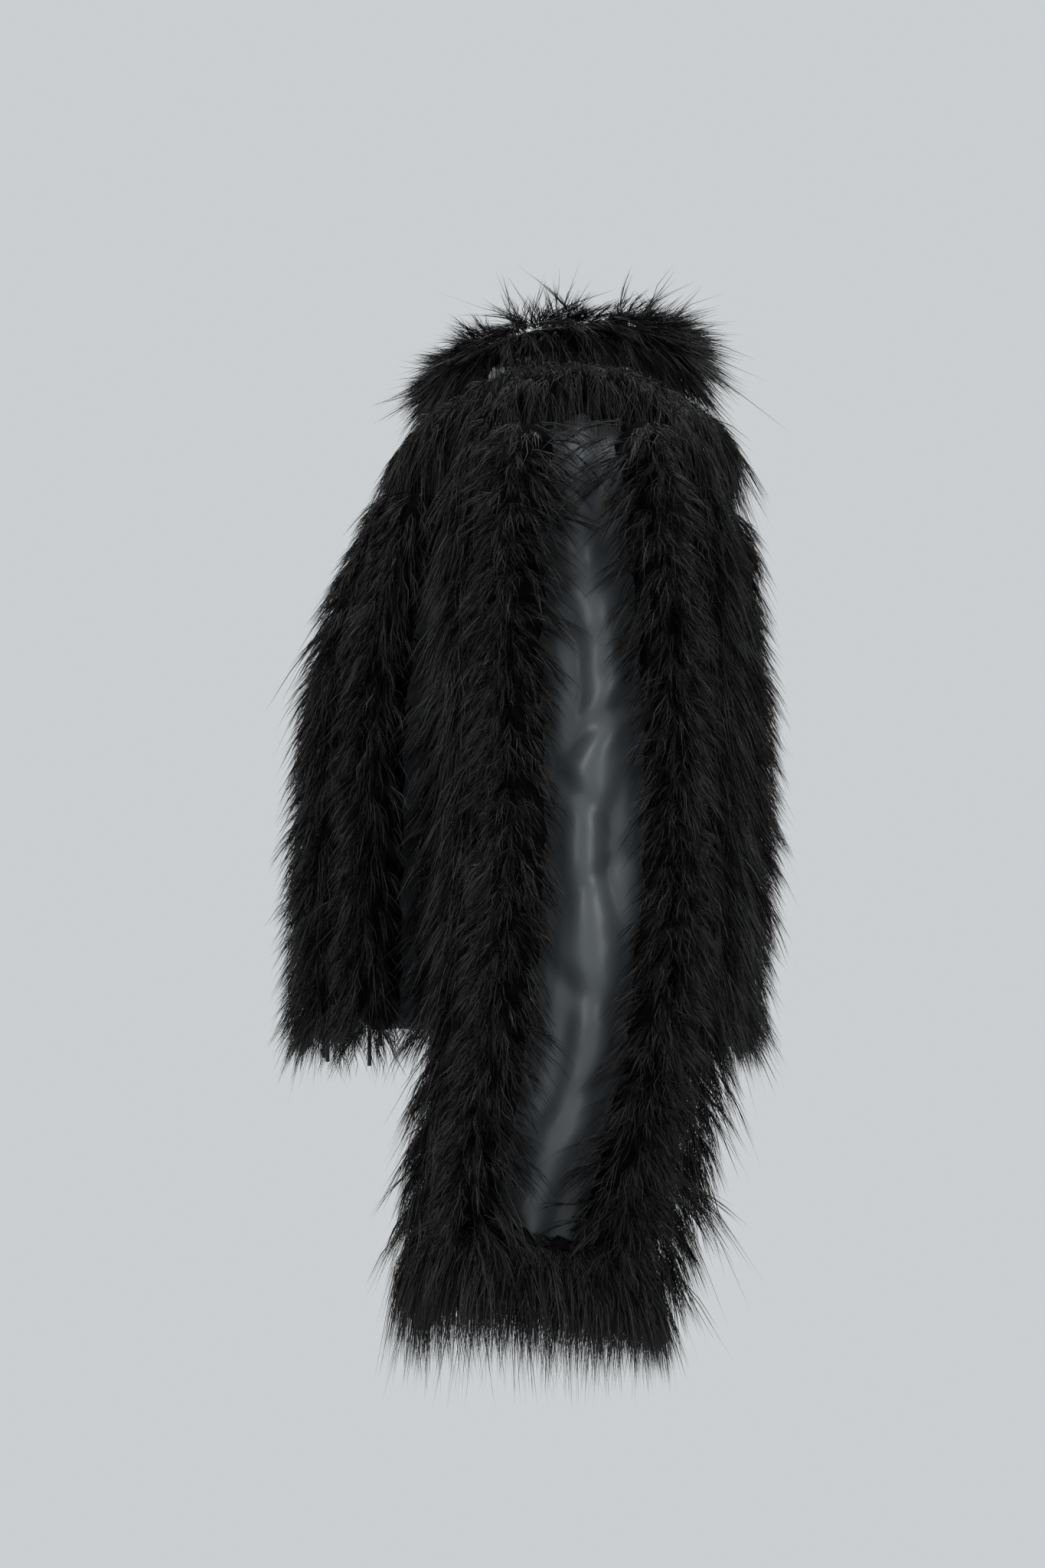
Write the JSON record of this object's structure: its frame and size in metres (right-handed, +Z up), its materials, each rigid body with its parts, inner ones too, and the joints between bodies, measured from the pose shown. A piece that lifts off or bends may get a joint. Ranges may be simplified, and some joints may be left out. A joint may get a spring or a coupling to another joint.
{
  "type": "cropped marabou feather jacket",
  "caption": "Cropped open-front jacket of vertical marabou boa rows on a lined satin base, with a boa collar, boa cuffs and a bare satin strip down each sleeve.",
  "frame": {"origin": "centre of the neck opening at the base of the wearer's neck", "axes": "+X to the wearer's left, -Y is the wearer's front, +Z up"},
  "size_m": [0.8096, 0.3628, 0.76],
  "materials": {
    "marabou": "matte",
    "satin": "satin",
    "lining": "satin",
    "satin_tape": "satin",
    "cotton_cord": "matte",
    "black_wire": "gloss"
  },
  "bodies": {
    "jacket_body": {"back_lining": "lining", "back_panel": "satin", "body_core_cords": "cotton_cord", "collar_row": "marabou", "left_back_centre_row": "marabou", "left_back_corner_row": "marabou", "left_back_middle_row": "marabou", "left_back_outer_row": "marabou", "left_front_corner_row": "marabou", "left_front_outer_row": "marabou", "left_side_lining": "lining", "left_side_panel": "satin", "left_side_row": "marabou", "neckband": "satin", "right_back_centre_row": "marabou", "right_back_corner_row": "marabou", "right_back_middle_row": "marabou", "right_back_outer_row": "marabou", "right_front_corner_row": "marabou", "right_front_outer_row": "marabou", "right_side_lining": "lining", "right_side_panel": "satin", "right_side_row": "marabou", "yoke": "satin", "yoke_lining": "lining", "yoke_row": "marabou"},
    "left_sleeve": {"left_cuff_row": "marabou", "left_sleeve_back_strip_row": "marabou", "left_sleeve_back_under_row": "marabou", "left_sleeve_core_cords": "cotton_cord", "left_sleeve_front_strip_row": "marabou", "left_sleeve_front_under_row": "marabou", "left_sleeve_inner_row": "marabou", "left_sleeve_lining": "lining", "left_sleeve_satin": "satin", "left_sleeve_shoulder_row": "marabou"},
    "right_sleeve": {"right_cuff_row": "marabou", "right_sleeve_back_strip_row": "marabou", "right_sleeve_back_under_row": "marabou", "right_sleeve_core_cords": "cotton_cord", "right_sleeve_front_strip_row": "marabou", "right_sleeve_front_under_row": "marabou", "right_sleeve_inner_row": "marabou", "right_sleeve_lining": "lining", "right_sleeve_satin": "satin", "right_sleeve_shoulder_row": "marabou"},
    "left_front": {"front_hooks": "black_wire", "left_front_centre_row": "marabou", "left_front_core_cords": "cotton_cord", "left_front_lining": "lining", "left_front_middle_row": "marabou", "left_front_panel": "satin"},
    "right_front": {"front_eyes": "black_wire", "right_front_centre_row": "marabou", "right_front_core_cords": "cotton_cord", "right_front_lining": "lining", "right_front_middle_row": "marabou", "right_front_panel": "satin"},
    "hanger_tape": {"hanger_loop": "satin_tape"}
  },
  "joints": [
    {"name": "left_shoulder_swing", "type": "hinge", "parent": "jacket_body", "child": "left_sleeve", "pos_m": [0.188, 0.0128, -0.1], "axis": [-1, 0, 0], "range_deg": [-35, 90]},
    {"name": "left_front_fold", "type": "hinge", "parent": "jacket_body", "child": "left_front", "pos_m": [0.119, -0.136, -0.1], "axis": [0, 0.0777, 0.997], "range_deg": [0, 60]},
    {"name": "right_shoulder_swing", "type": "hinge", "parent": "jacket_body", "child": "right_sleeve", "pos_m": [-0.188, 0.0128, -0.1], "axis": [-1, 0, 0], "range_deg": [-35, 90]},
    {"name": "right_front_fold", "type": "hinge", "parent": "jacket_body", "child": "right_front", "pos_m": [-0.119, -0.136, -0.1], "axis": [0, -0.0777, -0.997], "range_deg": [0, 60]},
    {"name": "hanger_loop_swing", "type": "hinge", "parent": "jacket_body", "child": "hanger_tape", "pos_m": [0, 0.05118, 0.021], "axis": [-1, 0, 0], "range_deg": [0, 160]}
  ]
}
